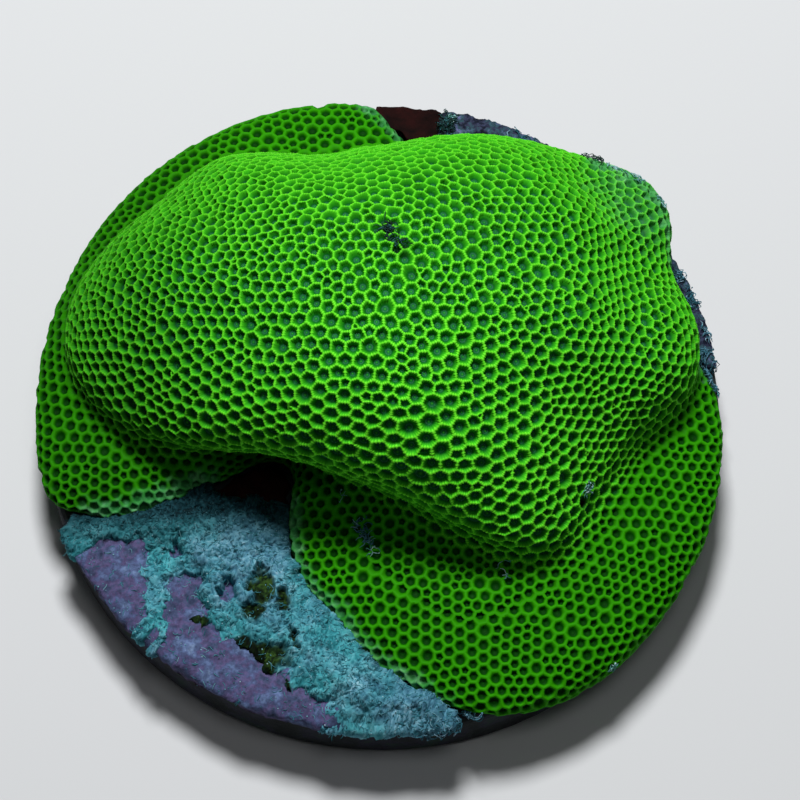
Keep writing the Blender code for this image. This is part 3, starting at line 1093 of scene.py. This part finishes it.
def height_of(ground, x, y):
    """How high the ground stands here, or a long way down where there is none."""
    top = ground.ray_cast(Vector((x, y, 20.0 * MM)), Vector((0.0, 0.0, -1.0)))[0]
    return top.z if top else NO_GROUND


def felt_height(x, y):
    return max(height_of(ground, x, y) for ground in felts)


def crust_height(x, y):
    """The height of the bare crust here, or None under the felt and off the crust."""
    bare = height_of(crusts["coralline_crust_front"], x, y)
    return bare if bare > felt_height(x, y) else None


def turf_height(x, y):
    """The height of the felt here where it stands proud of the crust, or None."""
    top = felt_height(x, y)
    return top if top > height_of(crusts["coralline_crust_front"], x, y) else None


def spots_on(height_at, count):
    """Random places on the felt or on the bare crust, few of them in the hollows."""
    spots = []
    while len(spots) < count:
        x = random.uniform(-24.5, 6.0) * MM
        y = random.uniform(-25.5, -6.0) * MM
        height = height_at(x, y)
        if height and random.random() > 0.85 * inside(Vector((x, y, 0.0)), HOLLOWS):
            spots.append(Vector((x, y, height)))
    return spots


def threads_mesh(name, paths, thickness):
    """Square-sectioned threads, thinner at both ends, along rows of places."""
    curve = bpy.data.curves.new(name, "CURVE")
    curve.dimensions = "3D"
    curve.bevel_depth = 0.5 * thickness
    curve.bevel_resolution = 0
    curve.use_fill_caps = True
    for places in paths:
        spline = curve.splines.new("POLY")
        spline.points.add(len(places) - 1)
        for k, place in enumerate(places):
            spline.points[k].co = (*place, 1.0)
            spline.points[k].radius = 0.4 + 0.8 * math.sin(math.pi * (k + 0.5) / len(places))
    obj = add_object(name, curve)
    evaluated = obj.evaluated_get(bpy.context.evaluated_depsgraph_get())
    made = bpy.data.meshes.new_from_object(evaluated)
    bpy.data.objects.remove(obj)
    return made


def thread_path(start):
    """The places of one thread that wanders over the ground from here in a low arc."""
    heading = random.uniform(0.0, 2.0 * math.pi)
    curl = random.gauss(0.0, THREAD_CURL)
    lift = random.uniform(0.0, THREAD_LIFT_MM) * MM
    places = []
    x, y, level = start
    for k in range(THREAD_STEPS):
        height = turf_height(x, y) or crust_height(x, y)
        level = max(height, level - SAG) if height else level - FALL
        places.append(Vector((x, y, level + lift * math.sin(math.pi * k / (THREAD_STEPS - 1)))))
        heading += curl + random.gauss(0.0, THREAD_CURL)
        x += THREAD_STEP * math.cos(heading)
        y += THREAD_STEP * math.sin(heading)
    return places


def each_its_own(tree, *stops):
    """A colour that differs from thread to thread and from grain to grain."""
    each = add_node(tree, "ShaderNodeNewGeometry").outputs["Random Per Island"]
    return colour_by(tree, each, *stops)


starts = spots_on(turf_height, THREAD_COUNT) + spots_on(crust_height, WISP_COUNT)
paths = [thread_path(start) for start in starts]

# Dull teal threads, some of them pale, painted nearly black under the brow as painted shadow.
algae, tree, shader = new_material("teal turf threads", roughness=0.8, specular=0.08)
lit = each_its_own(tree, (0.0, "22606c"), (0.5, "377a88"), (0.85, "4c8e9c"), (1.0, "7cb0bc"))
unlit = each_its_own(tree, (0.0, "05161a"), (0.6, "0e343c"), (1.0, "24505a"))
tree.links.new(mix_colours(tree, lip_shade(tree), lit, unlit), shader.inputs["Base Color"])
piece = add_piece("turf_threads", threads_mesh("turf_threads", paths, THREAD_THICKNESS), algae)
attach(piece, "root")
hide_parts("turf_mat_front")

bm = bmesh.new()
for spot in spots_on(turf_height, GRAIN_COUNT) + spots_on(crust_height, SPECK_COUNT):
    radius = random.uniform(*GRAIN_SIZES) * MM
    spin = Euler([random.uniform(0.0, math.pi) for _ in range(3)]).to_matrix().to_4x4()
    squash = Matrix.Diagonal((radius, radius * random.uniform(0.6, 1.0), radius * 0.7, 1.0))
    bmesh.ops.create_icosphere(
        bm, subdivisions=1, radius=1.0, matrix=Matrix.Translation(spot) @ spin @ squash
    )
# Grains from dark teal to a pale grey that catches the light, painted darker under the brow as
# painted shadow.
grit, tree, shader = new_material("fine sediment grit", roughness=0.8, specular=0.3)
lit = each_its_own(
    tree, (0.0, "1c4a50"), (0.4, "317480"), (0.8, "5490a0"), (0.95, "7cacb8"), (1.0, "a0c0c8")
)
unlit = each_its_own(tree, (0.0, "041216"), (0.6, "0c3038"), (1.0, "2c565e"))
tree.links.new(mix_colours(tree, lip_shade(tree), lit, unlit), shader.inputs["Base Color"])
piece = add_piece("turf_grit", bm, grit)
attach(piece, "root")
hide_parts("turf_mat_front")

# ----------------------------------------------------------
# Tufts and debris: small tufts of hair algae and slime that have caught on the colony,
# on the crusts and along the rim.  They are threads lying close, with grit between them.

# x, y and z in mm, spread and thread length in mm, number of threads and how far they rise.
DARK_TUFTS = (
    (0.5, 7.4, 20.9, 0.5, 1.1, 26, 0.25),
    (1.0, 6.3, 21.0, 0.4, 0.9, 18, 0.20),
    (4.9, 23.5, 6.0, 0.5, 0.9, 60, 0.30),
    (4.6, 22.6, 6.0, 0.4, 0.9, 40, 0.30),
    (16.0, 17.3, 10.8, 0.5, 1.2, 14, 0.40),
    (15.2, 17.7, 10.4, 0.4, 1.1, 8, 0.30),
)
TEAL_TUFTS = (
    (24.2, 2.6, 5.8, 0.55, 1.0, 60, 0.30),
    (24.7, 1.3, 6.0, 0.40, 0.8, 26, 0.20),
    (23.9, 4.1, 6.0, 0.40, 0.8, 34, 0.25),
    (24.2, 5.9, 6.0, 0.40, 0.8, 20, 0.25),
    (23.1, 8.6, 6.0, 0.60, 0.9, 46, 0.30),
    (22.3, 10.4, 6.0, 0.40, 0.9, 26, 0.30),
    (10.5, 21.9, 6.0, 0.80, 1.0, 34, 0.20),
    (13.4, 20.2, 6.0, 0.70, 1.0, 30, 0.25),
    (3.0, -24.7, 5.2, 0.60, 1.2, 60, 0.35),
    (4.6, -24.6, 5.2, 0.60, 1.2, 70, 0.35),
    (6.1, -24.3, 5.0, 0.45, 1.1, 50, 0.35),
    (-1.0, -11.3, 7.8, 0.35, 0.9, 20, 0.20),
    (-1.6, -10.3, 7.8, 0.35, 0.9, 18, 0.20),
)
PALE_TUFTS = (
    (14.6, -8.5, 10.5, 0.30, 0.7, 12, 0.15),
    (15.0, -8.1, 10.4, 0.25, 0.7, 8, 0.15),
    (-0.8, -12.2, 7.7, 0.20, 0.7, 6, 0.12),
    (9.0, -14.0, 7.8, 0.10, 0.8, 4, 0.12),
    (8.8, -13.0, 8.0, 0.05, 1.3, 2, 0.25),
    (-2.9, -7.9, 7.8, 0.15, 0.6, 5, 0.12),
    (5.2, 23.9, 6.1, 0.18, 0.5, 20, 0.20),
    (17.2, 17.2, 10.9, 0.45, 0.8, 16, 0.15),
    (19.0, 16.3, 10.6, 0.50, 0.8, 18, 0.15),
    (20.7, 14.6, 10.6, 0.50, 0.8, 16, 0.15),
    (16.9, -20.6, 5.5, 0.25, 0.6, 16, 0.20),
)
TUFT_STEPS = 7
TUFT_CLEARANCE = 0.08 * MM
TUFT_THICKNESS = 0.06 * MM
DEBRIS_SIZES = (0.04, 0.10)


def nearest_ground(place):
    """The nearest place on the colony, the crusts or the felt, and its normal."""
    found = [tree.find_nearest(place) for tree in (skin, *crusts.values(), *felts)]
    spot, normal, _, _ = min(found, key=lambda hit: hit[3])
    return spot, normal


def random_step(size):
    return Vector([random.gauss(0.0, size) for _ in range(3)])


def tuft_paths(tufts):
    """Rows of places for the threads of the tufts, lying along the ground in low arcs."""
    paths = []
    for x, y, z, spread, length, count, rise in tufts:
        for _ in range(count):
            place = (Vector((x, y, z)) + random_step(0.6 * spread)) * MM
            heading = random_step(1.0)
            reach = random.uniform(0.6, 1.1) * length * MM
            lift = random.uniform(0.3, 1.0) * rise * MM
            places = []
            for k in range(TUFT_STEPS):
                spot, normal = nearest_ground(place)
                height = lift * math.sin(math.pi * (k + 0.4) / TUFT_STEPS)
                places.append(spot + normal * (TUFT_CLEARANCE + height))
                heading += random_step(0.5)
                heading = (heading - normal * heading.dot(normal)).normalized()
                place = spot + heading * reach / TUFT_STEPS
            paths.append(places)
    return paths


def add_tufts(name, tufts, replaced, *stops):
    """One piece holding all the threads and grit of these tufts, slightly slick."""
    material, tree, shader = new_material(name.replace("_", " "), roughness=0.7, specular=0.2)
    tree.links.new(each_its_own(tree, *stops), shader.inputs["Base Color"])
    add_relief(tree, shader, mottle(tree, 0.06 * MM), 0.01 * MM)
    paths = tuft_paths(tufts)
    bm = bmesh_of(threads_mesh(name, paths, TUFT_THICKNESS))
    for places in paths[::2]:
        radius = random.uniform(*DEBRIS_SIZES) * MM
        bmesh.ops.create_icosphere(
            bm, subdivisions=1, radius=radius, matrix=Matrix.Translation(random.choice(places))
        )
    piece = add_piece(name, bm, material)
    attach(piece, "root")
    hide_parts(replaced)


add_tufts(
    "dark_algae_tufts",
    DARK_TUFTS,
    "coralline_crust_rear",
    (0.0, "060e0c"), (0.5, "10302c"), (0.85, "1c4a4c"), (1.0, "3c7480"),
)
add_tufts(
    "teal_algae_tufts",
    TEAL_TUFTS,
    "coralline_crust_side",
    (0.0, "1c4650"), (0.5, "30687a"), (0.85, "5a8a9e"), (1.0, "8cb0c4"),
)
add_tufts(
    "pale_slime_threads",
    PALE_TUFTS,
    "coral_colony",
    (0.0, "3c7c74"), (0.5, "60a094"), (0.85, "8cb8bc"), (1.0, "b8d4d8"),
)
